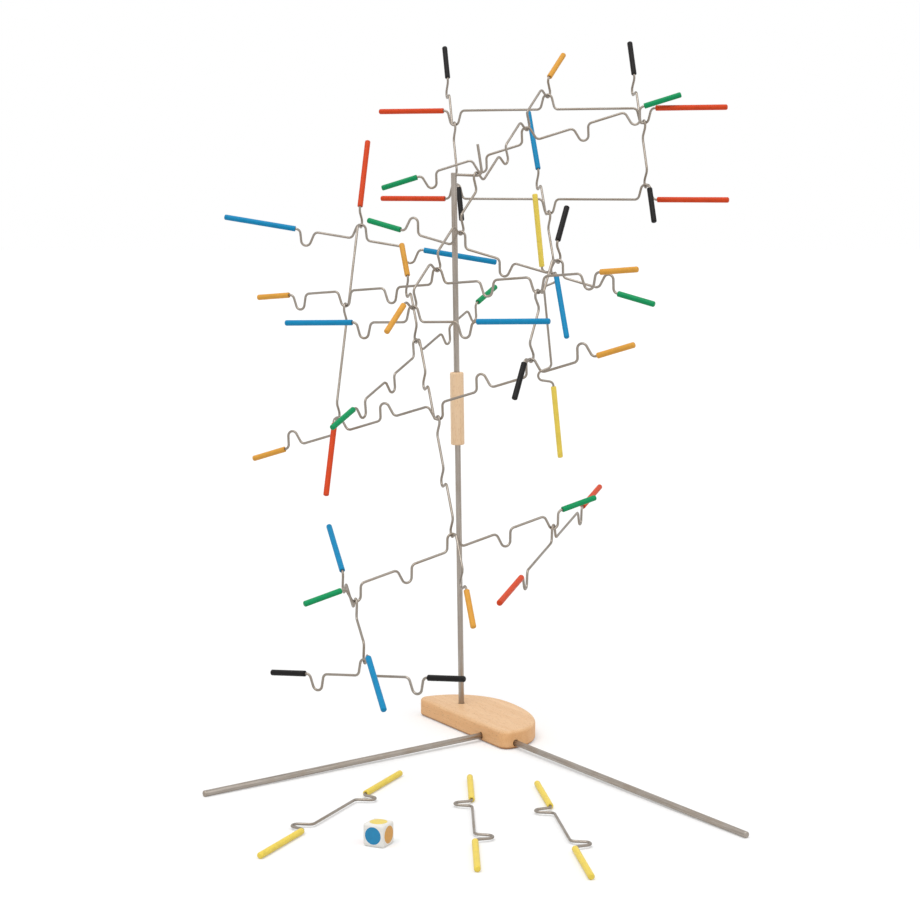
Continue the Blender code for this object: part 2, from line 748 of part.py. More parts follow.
def build_die(paint):
    """Painted cube with rounded edges."""
    bm = bmesh.new()
    bmesh.ops.create_cube(bm, size=DIE_SIZE)
    bmesh.ops.bevel(bm, geom=bm.edges[:], offset=DIE_EDGE, segments=DIE_EDGE_STEPS,
                    profile=ROUND_PROFILE, affect="EDGES")
    make_object("die", bm, paint, None, (*DIE_PLACE, DIE_SIZE / 2), (0.0, 0.0, DIE_TURN))


def build():
    """Build the whole game."""
    wood = make_material("beech", *WOOD)
    steel = make_material("steel", *STEEL)
    rubbers = {colour: make_material(colour + "_rubber", value, RUBBER_ROUGHNESS, 0.0)
               for colour, value in TIP_COLOURS.items()}
    build_stand(wood, steel)
    build_wires(steel, rubbers)
    build_die(make_material("white_paint", *WHITE_PAINT))


build()
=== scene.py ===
"""Looks of the balance game: notched steel wires, rubber tips, a beech foot and a hooked pole."""
import math

import bpy
import numpy as np
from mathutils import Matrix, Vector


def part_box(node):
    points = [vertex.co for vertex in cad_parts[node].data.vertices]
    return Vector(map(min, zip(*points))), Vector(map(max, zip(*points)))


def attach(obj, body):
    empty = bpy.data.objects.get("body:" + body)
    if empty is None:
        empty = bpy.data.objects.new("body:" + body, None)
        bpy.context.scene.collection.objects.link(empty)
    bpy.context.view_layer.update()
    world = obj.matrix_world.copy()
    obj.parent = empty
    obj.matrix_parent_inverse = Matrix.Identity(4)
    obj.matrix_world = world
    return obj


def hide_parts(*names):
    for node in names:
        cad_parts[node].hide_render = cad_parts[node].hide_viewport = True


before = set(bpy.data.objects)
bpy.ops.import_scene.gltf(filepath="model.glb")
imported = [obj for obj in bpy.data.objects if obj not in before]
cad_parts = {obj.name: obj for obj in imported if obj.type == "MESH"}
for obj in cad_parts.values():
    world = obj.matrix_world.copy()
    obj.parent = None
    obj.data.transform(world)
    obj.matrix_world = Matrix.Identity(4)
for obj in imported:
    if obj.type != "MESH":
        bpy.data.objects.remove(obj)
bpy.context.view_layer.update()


# Sizes of the real pieces, in metres; angles in degrees.

ROD_RADIUS = 0.00235
ROD_CHAMFER = 0.0006            # of the CAD rod's ends
ROD_END_ROUND = 0.0007

WIRE_RADIUS = 0.001
NOTCH_PITCH = 0.045
RED_REACH = 0.087               # from the wire's middle to its outer notches
YELLOW_REACH = 0.041
NOTCH_DEPTH = 0.0125
NOTCH_RADIUS = 0.0042
NOTCH_FLANK = 75.0
MOUTH_RADIUS = 0.004

TIP_INSET = 0.0105              # from the outer notch's middle to the tip
WIRE_IN_TIP = 0.004
SHORT_TIP = 0.032
LONG_TIP = 0.062
TIP_RADIUS = 0.0023
TIP_LIP = 0.00045
TIP_DOME = 0.0012
TIP_WAIST = 0.012               # share of its radius that a tip is slimmer in the middle
TIP_MOUTH = ((0.0012, 0.97), (0.00015, 1.06), (0.0, 1.25))    # depth, share of the wire's radius

POLE_LEAN = 0.8
JOINER_BOTTOM = 0.233
JOINER_LENGTH = 0.060
JOINER_RADIUS = 0.0056
JOINER_SOCKET = 0.027
JOINER_EDGE = 0.0011
HOOK_RADIUS = 0.0011
HOOK_HEIGHT = 0.454
HOOK_REACH = 0.0225
HOOK_RISE = 0.025
HOOK_BEND = 0.004
HOOK_DIP = 3.0
HOOK_LEAN_IN = 8.0

SOCKET_GAP = 0.0003
SOCKET_RADIUS = ROD_RADIUS + SOCKET_GAP
SOCKET_FLARE = 0.0005
CUTTER_PROUD = 0.02             # how far a socket's cutter stands out of the wood

BASE_LENGTH = 0.141
BASE_DEPTH = 0.059
BASE_DEEPEST_FROM_END = 0.056
BASE_HEIGHT = 0.015
BASE_CORNER = 0.008
BASE_ROUND = 0.0026
BASE_FACE_INSET = 2 * BASE_ROUND    # of the ring that closes the top and the bottom
BASE_ROUNDNESS = 2.1
BASE_TURN = -60.0
POLE_FROM_BASE_END = 0.0385
POLE_FROM_FLAT_EDGE = 0.021
POLE_SOCKET_DEPTH = 0.011
SIDE_LEG_SOCKET_DEPTH = 0.044
END_LEG_SOCKET_DEPTH = 0.020

DIE_SIZE = 0.016
DIE_ROUND = 0.0018
DIE_TURN = -27.0
DOT_RADIUS = 0.0061
DOT_RISE = 0.00009
DOT_SINK = 0.0002               # how far a dot's hidden foot lies under the paint
DOT_ARCH = 0.98                 # share of the ellipse's half width at which the dome ends
DOT_MIDDLE = 0.04               # share of the radius left flat in the middle

# Per tip colour: how far from the middle the notches lie, on both sides, and how long a tip is.
WIRE_KINDS = {
    "red": ((0.0, RED_REACH), LONG_TIP),
    "blue": ((0.0, NOTCH_PITCH), LONG_TIP),
    "yellow": ((YELLOW_REACH,), LONG_TIP),
    "black": ((0.0, NOTCH_PITCH), SHORT_TIP),
    "green": ((0.0, NOTCH_PITCH, 2 * NOTCH_PITCH), SHORT_TIP),
    "orange": ((0.0, NOTCH_PITCH, 2 * NOTCH_PITCH, 3 * NOTCH_PITCH), SHORT_TIP),
}
LETTERS = "abcd"
RODS = ("leg_left", "leg_right", "lower_pole", "upper_pole")
DIE_DOTS = (
    ("blue", (0.0, -1.0, 0.0)),
    ("orange", (1.0, 0.0, 0.0)),
    ("yellow", (0.0, 0.0, 1.0)),
    ("red", (-1.0, 0.0, 0.0)),
    ("green", (0.0, 1.0, 0.0)),
    ("black", (0.0, 0.0, -1.0)),
)

# How far from the farthest corner of a CAD bar's end the end's other corners lie, at most.
TIP_END_REACH = 1.7 * TIP_RADIUS
ROD_END_REACH = 2.2 * ROD_RADIUS
CAD_DIGITS = 7                  # decimals to which two CAD corners count as one
DIE_DIGITS = 8

# How finely the shapes are divided: faces around, steps along, points on a line.
WIRE_SIDES = 16
ROD_SIDES = 32
TIP_SIDES = 28
DOWEL_SIDES = 48
DOT_SIDES = 40
MOUTH_STEPS = 8
CROWN_STEPS = 20
LIP_STEPS = 6
TIP_STEPS = 14
DOME_STEPS = 8
END_STEPS = 5
HOOK_STEPS = 24
EDGE_STEPS = 6
CORNER_STEPS = 24
BACK_STEPS = 720
OUTLINE_POINTS = 420
DIE_POINTS = 17
DIE_CROWDING = 0.6              # below 1, the die's grid is finer towards its edges
DOT_RINGS = 8
SMOOTH_UNDER = 35.0

# Finishes: colours, and lines or spots per metre, along the grain and across it or all ways.
TIP_COLOURS = {
    "red": (0.690, 0.062, 0.010),
    "blue": (0.001, 0.248, 0.500),
    "green": (0.001, 0.302, 0.104),
    "orange": (0.760, 0.365, 0.055),
    "yellow": (0.905, 0.690, 0.108),
    "black": (0.005, 0.004, 0.004),
}
RUBBER_CLOUDS = 160.0
RUBBER_SKIN = 1200.0
RUBBER_DEEP = 0.91
RUBBER_BLOOM = 0.012
STEEL_LINES = (25.0, 2600.0, 2600.0)
STEEL_PATCHES = 55.0
BEECH_BANDS = (9.0, 150.0, 150.0)
BEECH_FIBRES = (60.0, 2200.0, 2200.0)
BEECH_RAYS = (320.0, 2300.0, 2300.0)
PAINT_FIBRES = (70.0, 1500.0, 1500.0)
PAINT_SHADE = 0.93
DOT_CLOUDS = 420.0
DOT_SHADE = 0.86
# Heights where the foot's painted side shade and painted contact shadow start, and where they are
# full.
SIDE_SHADE_HEIGHTS = (BASE_HEIGHT - 0.1 * BASE_ROUND, BASE_HEIGHT - BASE_ROUND)
CONTACT_SHADOW_HEIGHTS = (BASE_ROUND, 0.25 * BASE_ROUND)

# Floor, light and camera.
WHITE = (1.0, 1.0, 1.0, 1.0)
FLOOR_REACH = 12.0
FLOOR_BELOW = 0.0001
FLOOR_TONES = (0.745, 0.755)
FLOOR_SPOTS = 3.0
FLOOR_ROUGHNESS = 0.9
FLOOR_SPECULAR = 0.1
FLOOR_GLOW = 0.27
AMBIENT = 0.58
# Far softboxes: name, heading, height and width in degrees, strength.
SOFTBOXES = (("key", -30.0, 66.0, 40.0, 1.3), ("fill", 50.0, 45.0, 60.0, 0.4))
FRAME_PIXELS = 920.0
FOCAL_PIXELS = 2227.9
SENSOR_WIDTH = 36.0
CAMERA_PLACE = (-0.0014, -1.8252, 0.4524)
CAMERA_TILT = 7.25
CAMERA_SIGHT = 60.0

# Sockets of Blender's Mix node when it mixes colours.
MIX_FACTOR, MIX_FIRST, MIX_SECOND, MIX_RESULT = 0, 6, 7, 2
# A direction that no turned piece runs along; the ring of vertices starts square to it.
RING_START = (0.0, 1.0, 0.2)


# Shapes.

def unit(vector):
    """The vector scaled to length one."""
    return vector / np.linalg.norm(vector)


def turned_about_z(angle):
    """Matrix that turns by an angle in degrees about the upright axis."""
    c, s = math.cos(math.radians(angle)), math.sin(math.radians(angle))
    return np.array(((c, -s, 0.0), (s, c, 0.0), (0.0, 0.0, 1.0)))


def arc(centre, radius, start, end, steps):
    """Points centre + radius (cos a, sin a) for a from start to end, in degrees."""
    a = np.radians(np.linspace(start, end, steps + 1))
    return np.stack((centre[0] + radius * np.cos(a), centre[1] + radius * np.sin(a)), axis=1)


def from_far_end(line, length):
    """A line of (run, offset) pairs turned end for end: each run becomes length - run."""
    return line[::-1] * (-1.0, 1.0) + (length, 0.0)


def length_so_far(path):
    """The length of a path up to each of its points: the running sum of its steps."""
    steps = np.linalg.norm(np.diff(path, axis=0), axis=1)
    return np.concatenate(([0.0], np.cumsum(steps)))


def tube_faces(rings, around):
    """Quads between neighbouring rings of a tube, and one closing face at each end."""
    i, j = np.meshgrid(np.arange(rings - 1), np.arange(around), indexing="ij")
    k = (j + 1) % around
    corners = (i * around + j, i * around + k, (i + 1) * around + k, (i + 1) * around + j)
    quads = np.stack(corners, axis=-1).reshape(-1, 4).tolist()
    first = np.arange(around)
    return quads + [first[::-1].tolist(), ((rings - 1) * around + first).tolist()]


def tube(centres, run, radii, first, second, around):
    """A closed tube: about each centre the ring centre + r (cos a first + sin a second).

    Also gives each vertex's own coordinates: the centre's run, r cos a and r sin a."""
    a = 2 * np.pi * np.arange(around) / around
    u = radii[:, None] * np.cos(a)
    v = radii[:, None] * np.sin(a)
    points = centres[:, None] + u[..., None] * first + v[..., None] * second
    own = np.stack((np.broadcast_to(run[:, None], u.shape), u, v), axis=-1)
    return points.reshape(-1, 3), tube_faces(len(run), around), own.reshape(-1, 3)


def swept_bar(path, side, radii, around):
    """A round bar carried along a path that lies in a plane with the normal side.

    At a point with the tangent t, its ring lies in the plane of side x t and side."""
    tangent = np.gradient(path, axis=0)
    tangent /= np.linalg.norm(tangent, axis=1, keepdims=True)
    across = np.cross(side, tangent)[:, None]
    radii = np.broadcast_to(radii, len(path))
    return tube(path, length_so_far(path), radii, across, side, around)


def turned_body(start, along, profile, around):
    """A turned body: (run, radius) pairs spun about the axis from start along a direction."""
    along = unit(np.asarray(along, float))
    first = unit(np.cross(along, RING_START))
    run, radii = np.asarray(profile, float).T
    return tube(start + run[:, None] * along, run, radii, first, np.cross(along, first), around)


# Pieces.

def new_mesh(name, points, faces):
    """A mesh of points and faces."""
    mesh = bpy.data.meshes.new(name)
    mesh.from_pydata(np.asarray(points).tolist(), [], faces)
    mesh.update()
    return mesh


def add_object(name, data):
    """Link a new object of a mesh, a lamp or a camera to the scene."""
    item = bpy.data.objects.new(name, data)
    bpy.context.scene.collection.objects.link(item)
    return item


def add_piece(name, shape, material, body, nodes):
    """Make a mesh object of a shape (points, faces, own coordinates) that rides on a body."""
    points, faces, own = shape
    mesh = new_mesh(name, points, faces)
    store_own(mesh, own)
    finish_piece(name, mesh, material, body, nodes)


def store_own(mesh, own):
    """Keep each vertex's own coordinates in the attribute that the materials read."""
    attribute = mesh.attributes.new("own", "FLOAT_VECTOR", "POINT")
    attribute.data.foreach_set("vector", np.asarray(own, np.float32).ravel())


def finish_piece(name, mesh, material, body, nodes):
    """Shade a mesh smooth, link it as a piece, tie it to its body, and hide the CAD nodes it stands
    for.
    """
    mesh.polygons.foreach_set("use_smooth", np.ones(len(mesh.polygons), bool))
    mesh.set_sharp_from_angle(angle=math.radians(SMOOTH_UNDER))
    mesh.materials.append(material)
    piece = add_object(name, mesh)
    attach(piece, body)
    if nodes:
        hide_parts(*nodes)


def corner_points(mesh):
    """The places of a mesh's vertices."""
    points = np.empty(3 * len(mesh.vertices), np.float32)
    mesh.vertices.foreach_get("co", points)
    return points.reshape(-1, 3)


def node_points(name):
    """The corner points of a CAD node, each once."""
    points = corner_points(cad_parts[name].data).astype(float)
    return np.unique(np.round(points, CAD_DIGITS), axis=0)


def bar_ends(points, reach):
    """Centres of a bar's two ends, the lower first.

    Each is the mean of the points within reach of the farthest one."""
    main = np.linalg.svd(points - points.mean(axis=0), full_matrices=False)[2][0]
    run = points @ main
    ends = []
    for far in (points[np.argmin(run)], points[np.argmax(run)]):
        ends.append(points[np.linalg.norm(points - far, axis=1) < reach].mean(axis=0))
    return sorted(ends, key=lambda end: end[2])


# Materials.

def new_material(name):
    """A new node material, its node tree and its shader."""
    material = bpy.data.materials.new(name)
    material.use_nodes = True
    tree = material.node_tree
    return material, tree, tree.nodes["Principled BSDF"]


def add_node(tree, kind, **values):
    """Add a shader node; values set its properties, or its inputs where the name is an input's."""
    node = tree.nodes.new(kind)
    for key, value in values.items():
        if key in node.inputs:
            node.inputs[key].default_value = value
        else:
            setattr(node, key, value)
    return node


def object_coordinates(tree):
    """Coordinates in the object's frame, in metres."""
    return add_node(tree, "ShaderNodeTexCoord").outputs["Object"]


def own_coordinates(tree, scale):
    """The piece's own coordinates, scaled per axis."""
    attribute = add_node(tree, "ShaderNodeAttribute", attribute_name="own")
    mapping = add_node(tree, "ShaderNodeMapping", Scale=scale)
    tree.links.new(attribute.outputs["Vector"], mapping.inputs["Vector"])
    return mapping.outputs["Vector"]


def noise(tree, vector, scale=1.0, detail=2.0, roughness=0.5, distortion=0.0):
    """Noise values on a vector."""
    node = add_node(tree, "ShaderNodeTexNoise", Scale=scale, Detail=detail, Roughness=roughness,
                    Distortion=distortion)
    tree.links.new(vector, node.inputs["Vector"])
    return node.outputs["Fac"]


def ramp(tree, value, *stops):
    """Colours or greys spread over a value, as (place, colour) stops."""
    node = add_node(tree, "ShaderNodeValToRGB")
    elements = node.color_ramp.elements
    while len(elements) < len(stops):
        elements.new(0.5)
    for element, (place, colour) in zip(elements, stops):
        element.position = place
        element.color = (*(colour if isinstance(colour, tuple) else (colour,) * 3), 1.0)
    tree.links.new(value, node.inputs["Fac"])
    return node.outputs["Color"]


def mixed(tree, factor, first, second, how="MIX"):
    """Two colours mixed by a factor, each a socket or a constant."""
    node = add_node(tree, "ShaderNodeMix", data_type="RGBA", blend_type=how)
    for place, value in ((MIX_FACTOR, factor), (MIX_FIRST, first), (MIX_SECOND, second)):
        socket = node.inputs[place]
        if isinstance(value, bpy.types.NodeSocket):
            tree.links.new(value, socket)
        else:
            socket.default_value = value if isinstance(value, float) else (*value, 1.0)
    return node.outputs[MIX_RESULT]


def coat(tree, shader, colour, roughness):
    """Lead colour and roughness values into the shader."""
    tree.links.new(colour, shader.inputs["Base Color"])
    tree.links.new(roughness, shader.inputs["Roughness"])


def bump(tree, shader, height, strength, distance):
    """Raise the surface by a height value."""
    node = add_node(tree, "ShaderNodeBump", Strength=strength, Distance=distance)
    tree.links.new(height, node.inputs["Height"])
    tree.links.new(node.outputs["Normal"], shader.inputs["Normal"])


def shaded(colour, share):
    """A colour with each of its values reduced to a share."""
    return tuple(share * value for value in colour)


def drawn_steel(name, dark, light, tarnish):
    """Drawn steel: fine lines along the bar, and patches a little browner and duller."""
    material, tree, shader = new_material(name)
    lines = noise(tree, own_coordinates(tree, STEEL_LINES), detail=4.0, roughness=0.6)
    patches = noise(tree, object_coordinates(tree), STEEL_PATCHES, detail=3.0, roughness=0.55)
    colour = ramp(tree, lines, (0.30, dark), (0.70, light))
    colour = mixed(tree, ramp(tree, patches, (0.45, 0.0), (0.72, 0.55)), colour, tarnish)
    coat(tree, shader, colour, ramp(tree, patches, (0.3, 0.32), (0.75, 0.48)))
    shader.inputs["Metallic"].default_value = 1.0
    bump(tree, shader, lines, strength=0.12, distance=0.00008)
    return material


def tip_rubber(name, colour):
    """Soft rubber: a slightly uneven colour, a matt bloom and a fine pebbled skin."""
    material, tree, shader = new_material(name)
    place = object_coordinates(tree)
    clouds = noise(tree, place, RUBBER_CLOUDS, detail=4.0, roughness=0.6)
    bloom = tuple(value + RUBBER_BLOOM * (1.0 - value) for value in colour)
    tone = ramp(tree, clouds, (0.30, shaded(colour, RUBBER_DEEP)), (0.52, colour), (0.78, bloom))
    coat(tree, shader, tone, ramp(tree, clouds, (0.3, 0.42), (0.7, 0.56)))
    shader.inputs["Specular IOR Level"].default_value = 0.20
    bump(tree, shader, noise(tree, place, RUBBER_SKIN), strength=0.06, distance=0.00006)
    return material


def painted_foot_shade(tree, colour, side_shade_tone, contact_shadow_tone):
    """Painted shade: the foot's sides deeper under its top face, and a painted shadow at its lower
    edge.

    Each is laid over the colour by the height in the piece's own coordinates."""
    height = add_node(tree, "ShaderNodeSeparateXYZ")
    tree.links.new(own_coordinates(tree, (1.0, 1.0, 1.0)), height.inputs["Vector"])
    # Both tones are painted shade: first the sides' shade below the top, then the contact shadow at
    # the bottom.
    for tone, (none, full) in ((side_shade_tone, SIDE_SHADE_HEIGHTS), (contact_shadow_tone, CONTACT_SHADOW_HEIGHTS)):
        share = add_node(tree, "ShaderNodeMapRange", clamp=True)
        share.inputs["From Min"].default_value = none
        share.inputs["From Max"].default_value = full
        tree.links.new(height.outputs["Z"], share.inputs["Value"])
        deeper = mixed(tree, 1.0, colour, tone, "MULTIPLY")
        colour = mixed(tree, share.outputs["Result"], colour, deeper)
    return colour


def beech(name, pale, warm, fleck, rim=None):
    """Beech: soft growth bands along the grain, short dark ray flecks, and a rim's two painted
    shades.
    """
    material, tree, shader = new_material(name)
    bands = noise(tree, own_coordinates(tree, BEECH_BANDS), detail=3.0, roughness=0.55,
                  distortion=0.4)
    fibres = noise(tree, own_coordinates(tree, BEECH_FIBRES), detail=3.0, roughness=0.6)
    rays = noise(tree, own_coordinates(tree, BEECH_RAYS), detail=1.0, roughness=0.4)
    colour = ramp(tree, bands, (0.28, warm), (0.72, pale))
    colour = mixed(tree, ramp(tree, fibres, (0.40, 0.22), (0.62, 0.0)), colour, warm, "MULTIPLY")
    # A rim is two tones of painted shade: one for the foot's sides and one for the contact shadow
    # at its lower edge.
    if rim:
        colour = painted_foot_shade(tree, colour, *rim)
    colour = mixed(tree, ramp(tree, rays, (0.635, 0.0), (0.70, 0.62)), colour, fleck)
    coat(tree, shader, colour, ramp(tree, fibres, (0.3, 0.58), (0.7, 0.46)))
    shader.inputs["Specular IOR Level"].default_value = 0.35
    bump(tree, shader, fibres, strength=0.10, distance=0.00012)
    return material


def die_paint(name, colour):
    """White paint over wood: the grain just shows through a satin coat."""
    material, tree, shader = new_material(name)
    fibres = noise(tree, own_coordinates(tree, PAINT_FIBRES), detail=3.0, roughness=0.6)
    tone = ramp(tree, fibres, (0.32, shaded(colour, PAINT_SHADE)), (0.62, colour))
    coat(tree, shader, tone, ramp(tree, fibres, (0.3, 0.46), (0.7, 0.36)))
    bump(tree, shader, fibres, strength=0.15, distance=0.0001)
    return material


def dot_paint(name, colour):
    """A printed colour dot: thin paint with a slightly uneven edge-to-edge shade."""
    material, tree, shader = new_material(name)
    clouds = noise(tree, object_coordinates(tree), DOT_CLOUDS, detail=4.0, roughness=0.65)
    tone = ramp(tree, clouds, (0.32, shaded(colour, DOT_SHADE)), (0.66, colour))
    coat(tree, shader, tone, ramp(tree, clouds, (0.3, 0.34), (0.7, 0.46)))
    bump(tree, shader, clouds, strength=0.08, distance=0.00005)
    return material


WIRE_STEEL = drawn_steel("wire_steel", dark=(0.20, 0.172, 0.146), light=(0.42, 0.372, 0.324),
                         tarnish=(0.27, 0.211, 0.152))
ROD_STEEL = drawn_steel("rod_steel", dark=(0.25, 0.217, 0.187), light=(0.50, 0.449, 0.400),
                        tarnish=(0.32, 0.254, 0.194))
# The foot's rim tones are painted shade: a deeper tone for its sides, and a dark one for a contact
# shadow along its lower edge.
FOOT_BEECH = beech("foot_beech", pale=(0.89, 0.610, 0.360), warm=(0.82, 0.520, 0.280),
                   fleck=(0.52, 0.27, 0.12), rim=((1.0, 0.88, 0.73), (0.40, 0.29, 0.23)))
DOWEL_BEECH = beech("dowel_beech", pale=(0.935, 0.705, 0.475), warm=(0.88, 0.62, 0.385),
                    fleck=(0.62, 0.36, 0.18))
WHITE_PAINT = die_paint("white_paint", (0.88, 0.86, 0.81))
RUBBER = {colour: tip_rubber(colour + "_rubber", tone) for colour, tone in TIP_COLOURS.items()}


# Wires and tips.

def wire_frame(points):
    """A wire's middle, its direction, the direction across in its plane, and the plane's normal."""
    first, second = bar_ends(points, TIP_END_REACH)
    along = unit(second - first)
    middle = (first + second) / 2
    off = points - middle
    off = off - np.outer(off @ along, along)
    across = np.linalg.svd(off, full_matrices=False)[2][0]
    across = unit(across - (across @ along) * along)
    return middle, along, across, np.cross(along, across)


def notch_line(place, side):
    """A notch's (run, offset) pairs: mouth bend, straight flank, round bend, flank, mouth bend.

    The mouth bend turns the wire by the flank's angle on a small radius, and the round bend turns
    it back twice as far on the notch radius."""
    flank = math.radians(NOTCH_FLANK)
    bends = NOTCH_RADIUS + MOUTH_RADIUS
    straight = NOTCH_DEPTH - bends * (1 - math.cos(flank))
    mouth = bends * math.sin(flank) + straight / math.tan(flank)
    lip = arc((-mouth, MOUTH_RADIUS), MOUTH_RADIUS, -90.0, -90.0 + NOTCH_FLANK, MOUTH_STEPS)
    crown = arc((0.0, NOTCH_DEPTH - NOTCH_RADIUS), NOTCH_RADIUS, 90.0 + NOTCH_FLANK,
                90.0 - NOTCH_FLANK, CROWN_STEPS)
    line = np.concatenate((lip, crown, from_far_end(lip, 0.0)))
    return line * (1.0, side) + (place, 0.0)


def notch_sides(points, middle, along, across, places):
    """Which way each notch goes: the sign of the mean offset of the CAD points at its place."""
    run = (points - middle) @ along
    offset = (points - middle) @ across
    near = [np.abs(run - place) < NOTCH_RADIUS for place in places]
    return [math.copysign(1.0, offset[here].mean()) for here in near]


def tip_profile(length):
    """A rubber sleeve's (run, radius) pairs: out from the wire, a lip, a slight waist, a dome.

    The waist takes the radius in by the square of a half sine wave."""
    mouth = np.array(TIP_MOUTH) * (1.0, WIRE_RADIUS)
    lip = arc((TIP_LIP, TIP_RADIUS - TIP_LIP), TIP_LIP, 180.0, 90.0, LIP_STEPS)
    run = np.linspace(TIP_LIP, length - TIP_DOME, TIP_STEPS + 1)[1:-1]
    radius = TIP_RADIUS * (1.0 - TIP_WAIST * np.sin(np.pi * run / length) ** 2)
    dome = arc((length - TIP_DOME, TIP_RADIUS - TIP_DOME), TIP_DOME, 90.0, 0.0, DOME_STEPS)
    return np.concatenate((mouth, lip, np.stack((run, radius), axis=1), dome))


def make_wire(colour, letter):
    """One wire and its two rubber tips, where the CAD wire lies."""
    body = f"{colour}_{letter}"
    node = f"{colour}_wire_{letter}"
    tip_nodes = [f"{colour}_tip_{letter}{number}" for number in (1, 2)]
    own_tips = tip_nodes[0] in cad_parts
    points = node_points(node)
    middle, along, across, side = wire_frame(points)
    # The wire runs from its first tip to its second.
    if own_tips and (node_points(tip_nodes[1]).mean(axis=0) - middle) @ along < 0:
        along, side = -along, -side
    reaches, tip_length = WIRE_KINDS[colour]
    places = sorted({sign * reach for reach in reaches for sign in (-1.0, 1.0)})
    sides = notch_sides(points, middle, along, across, places)
    start = reaches[-1] + TIP_INSET
    end = start + WIRE_IN_TIP
    notches = [notch_line(*notch) for notch in zip(places, sides)]
    line = np.concatenate(([(-end, 0.0)], *notches, [(end, 0.0)]))
    path = middle + line[:, :1] * along + line[:, 1:] * across
    bar = swept_bar(path, side, WIRE_RADIUS, WIRE_SIDES)
    add_piece(f"{body}_wire", bar, WIRE_STEEL, body, [node])
    profile = tip_profile(tip_length)
    for number, sign in ((1, -1.0), (2, 1.0)):
        tip = turned_body(middle + sign * start * along, sign * along, profile, TIP_SIDES)
        stands_for = [tip_nodes[number - 1]] if own_tips else [node]
        add_piece(f"{body}_tip_{number}", tip, RUBBER[colour], body, stands_for)


# The stand.

LEAN = math.radians(POLE_LEAN)
POLE_UP = np.array((-math.sin(LEAN), 0.0, math.cos(LEAN)))
POLE_RIGHT = np.array((math.cos(LEAN), 0.0, math.sin(LEAN)))
POLE_BACK = np.array((0.0, 1.0, 0.0))


def rod_profile(length):
    """A rod's (run, radius) pairs with both ends rounded over."""
    far = arc((length - ROD_END_ROUND, ROD_RADIUS - ROD_END_ROUND), ROD_END_ROUND, 90.0, 0.0,
              END_STEPS)
    return np.concatenate((from_far_end(far, length), far))


def make_rod(name):
    """A straight steel rod between the ends of its CAD node."""
    low, high = bar_ends(node_points(name), ROD_END_REACH)
    run = high - low
    profile = rod_profile(np.linalg.norm(run) + ROD_CHAMFER)
    bar = turned_body(low - ROD_CHAMFER / 2 * unit(run), run, profile, ROD_SIDES)
    add_piece(name + "_rod", bar, ROD_STEEL, name, [name])


def hook_line():
    """The hook in the pole's plane, and its radii: a sloping arm, a round bend, a leaning end.

    The bend's circle touches the arm, and the last points round the wire's end over."""
    dip = math.radians(HOOK_DIP)
    turn = math.radians(HOOK_LEAN_IN)
    x = HOOK_REACH - HOOK_BEND
    z = HOOK_HEIGHT - math.tan(dip) * (x - HOOK_BEND * math.sin(dip)) + HOOK_BEND * math.cos(dip)
    bend = arc((x, z), HOOK_BEND, -90.0 - HOOK_DIP, HOOK_LEAN_IN, HOOK_STEPS)
    start = np.array([(-ROD_RADIUS, HOOK_HEIGHT + math.tan(dip) * ROD_RADIUS)])
    away = np.array((-math.sin(turn), math.cos(turn)))
    rise = HOOK_RISE - HOOK_BEND
    half = HOOK_RADIUS / 2
    rounding = arc((rise - half, half), half, 90.0, 0.0, END_STEPS)
    end = bend[-1] + rounding[:, :1] * away
    radii = np.concatenate((np.full(1 + len(bend), HOOK_RADIUS), rounding[:, 1]))
    return np.concatenate((start, bend, end)), radii


def make_hook():
    """The hook wire, pressed through the upper rod."""
    line, radii = hook_line()
    path = line[:, :1] * POLE_RIGHT + line[:, 1:] * POLE_UP
    bar = swept_bar(path, POLE_BACK, radii, WIRE_SIDES)
    add_piece("hook_wire", bar, WIRE_STEEL, "upper_pole", ["hook"])


def joiner_profile():
    """The dowel's (run, radius) pairs: a blind socket, an eased end, and both at the far end."""
    socket = [(JOINER_SOCKET, SOCKET_RADIUS), (SOCKET_FLARE, SOCKET_RADIUS),
              (0.0, SOCKET_RADIUS + SOCKET_FLARE)]
    ease = arc((JOINER_EDGE, JOINER_RADIUS - JOINER_EDGE), JOINER_EDGE, 180.0, 90.0, EDGE_STEPS)
    near = np.concatenate((socket, ease))
    return np.concatenate((near, from_far_end(near, JOINER_LENGTH)))


def make_dowel():
    """The wooden dowel that joins the two pole rods."""
    dowel = turned_body(JOINER_BOTTOM * POLE_UP, POLE_UP, joiner_profile(), DOWEL_SIDES)
    add_piece("joiner_dowel", dowel, DOWEL_BEECH, "joiner", ["joiner"])


def foot_outline():
    """The foot's D-shaped outline at even spacing.

    Two quarters of |x/a|^n + |y/b|^n = 1 behind, each with its own length a, then a quarter circle,
    the flat edge, and a quarter circle."""
    a = np.linspace(0.0, np.pi, BACK_STEPS + 1)
    reach = np.where(np.cos(a) > 0, BASE_LENGTH - BASE_DEEPEST_FROM_END, BASE_DEEPEST_FROM_END)
    power = 2 / BASE_ROUNDNESS
    x = BASE_DEEPEST_FROM_END + reach * np.sign(np.cos(a)) * np.abs(np.cos(a)) ** power
    y = (BASE_DEPTH - BASE_CORNER) * np.sin(a).clip(0.0) ** power
    far = arc((BASE_CORNER, 0.0), BASE_CORNER, 180.0, 270.0, CORNER_STEPS)
    near = arc((BASE_LENGTH - BASE_CORNER, 0.0), BASE_CORNER, 270.0, 360.0, CORNER_STEPS)
    line = np.concatenate((np.stack((x, y), axis=1), far[1:], near))
    line += (-POLE_FROM_BASE_END, BASE_CORNER - POLE_FROM_FLAT_EDGE)
    run = length_so_far(line)
    even = np.linspace(0.0, run[-1], OUTLINE_POINTS, endpoint=False)
    return np.stack([np.interp(even, run, line[:, k]) for k in (0, 1)], axis=1)


